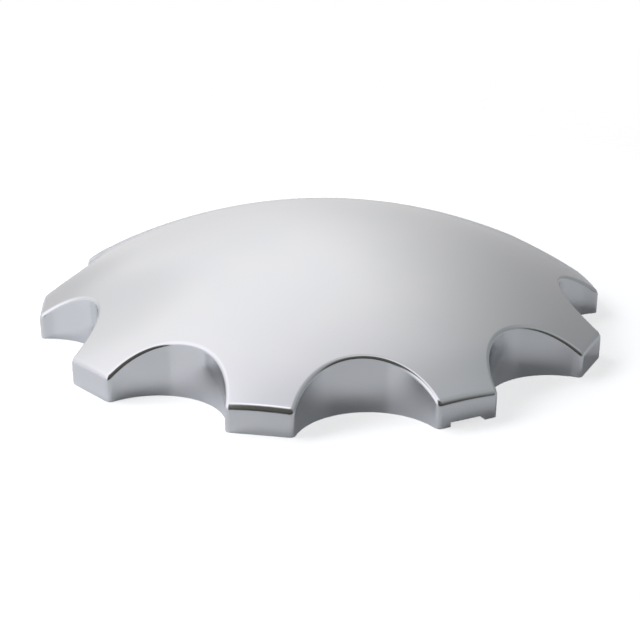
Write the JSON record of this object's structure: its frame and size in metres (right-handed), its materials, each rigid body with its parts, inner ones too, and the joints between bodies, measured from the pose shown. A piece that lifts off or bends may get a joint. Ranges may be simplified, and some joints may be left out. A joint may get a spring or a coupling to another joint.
{
  "type": "axle hub cover",
  "caption": "Shallow domed hub cover whose notched skirt fits round the wheel nuts, with a pry slot in the edge of one tab.",
  "frame": {"origin": "centre of the rim's underside, where the cover rests on the wheel's face", "axes": "+Z along the axle and outwards from the wheel, -Y through the middle of the tab with the pry slot, +X completes a right-handed frame and runs through the middle of a notch"},
  "size_m": [0.2644, 0.27, 0.0502],
  "materials": {
    "chrome_skin": "polished"
  },
  "bodies": {
    "root": {"hub_cover": "chrome_skin"}
  },
  "joints": []
}
